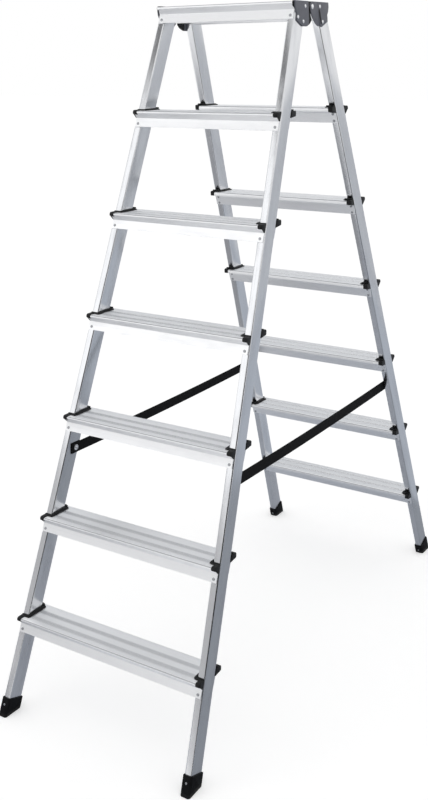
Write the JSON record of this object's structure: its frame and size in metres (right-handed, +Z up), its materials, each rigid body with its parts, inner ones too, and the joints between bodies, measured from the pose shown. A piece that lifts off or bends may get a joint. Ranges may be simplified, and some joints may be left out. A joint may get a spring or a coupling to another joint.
{
  "type": "double-sided step ladder",
  "caption": "Double-sided aluminium step ladder: ribbed treads on both flights, splayed stiles, plastic end caps and feet, top hinges and webbing spreader straps.",
  "frame": {"origin": "on the floor, midway between the four feet, below the hinge", "axes": "+Z up; X across the treads; the front flight's feet towards -Y and the rear flight's towards +Y"},
  "size_m": [0.5162, 1.2762, 1.5105],
  "materials": {
    "stile_aluminium": "drawn, satin",
    "tread_aluminium": "extruded, ribbed top",
    "black_plastic": "moulded, fine grain",
    "hinge_plastic": "moulded, fine grain",
    "zinc_steel": "zinc plated",
    "black_webbing": "woven webbing"
  },
  "bodies": {
    "front_flight": {"front_left_bracket": "hinge_plastic", "front_left_cap_1": "black_plastic", "front_left_cap_2": "black_plastic", "front_left_cap_3": "black_plastic", "front_left_cap_4": "black_plastic", "front_left_cap_5": "black_plastic", "front_left_cap_6": "black_plastic", "front_left_foot": "black_plastic", "front_left_stile": "stile_aluminium", "front_left_strap_rivet": "zinc_steel", "front_right_bracket": "hinge_plastic", "front_right_cap_1": "black_plastic", "front_right_cap_2": "black_plastic", "front_right_cap_3": "black_plastic", "front_right_cap_4": "black_plastic", "front_right_cap_5": "black_plastic", "front_right_cap_6": "black_plastic", "front_right_foot": "black_plastic", "front_right_stile": "stile_aluminium", "front_right_strap_rivet": "zinc_steel", "front_tread_1": "tread_aluminium", "front_tread_2": "tread_aluminium", "front_tread_3": "tread_aluminium", "front_tread_4": "tread_aluminium", "front_tread_5": "tread_aluminium", "front_tread_6": "tread_aluminium", "front_tread_7": "tread_aluminium", "hinge_pin_left": "zinc_steel", "hinge_pin_right": "zinc_steel", "strap_left": "black_webbing", "strap_right": "black_webbing"},
    "rear_flight": {"rear_left_bracket": "hinge_plastic", "rear_left_cap_1": "black_plastic", "rear_left_cap_2": "black_plastic", "rear_left_cap_3": "black_plastic", "rear_left_cap_4": "black_plastic", "rear_left_cap_5": "black_plastic", "rear_left_cap_6": "black_plastic", "rear_left_foot": "black_plastic", "rear_left_stile": "stile_aluminium", "rear_left_strap_rivet": "zinc_steel", "rear_right_bracket": "hinge_plastic", "rear_right_cap_1": "black_plastic", "rear_right_cap_2": "black_plastic", "rear_right_cap_3": "black_plastic", "rear_right_cap_4": "black_plastic", "rear_right_cap_5": "black_plastic", "rear_right_cap_6": "black_plastic", "rear_right_foot": "black_plastic", "rear_right_stile": "stile_aluminium", "rear_right_strap_rivet": "zinc_steel", "rear_tread_1": "tread_aluminium", "rear_tread_2": "tread_aluminium", "rear_tread_3": "tread_aluminium", "rear_tread_4": "tread_aluminium", "rear_tread_5": "tread_aluminium", "rear_tread_6": "tread_aluminium", "rear_tread_7": "tread_aluminium"}
  },
  "joints": [
    {"name": "fold", "type": "hinge", "parent": "front_flight", "child": "rear_flight", "pos_m": [0, 0, 1.5015], "axis": [-1, 0, 0], "range_deg": [0, 41], "deforming": ["strap_left", "strap_right"]}
  ]
}
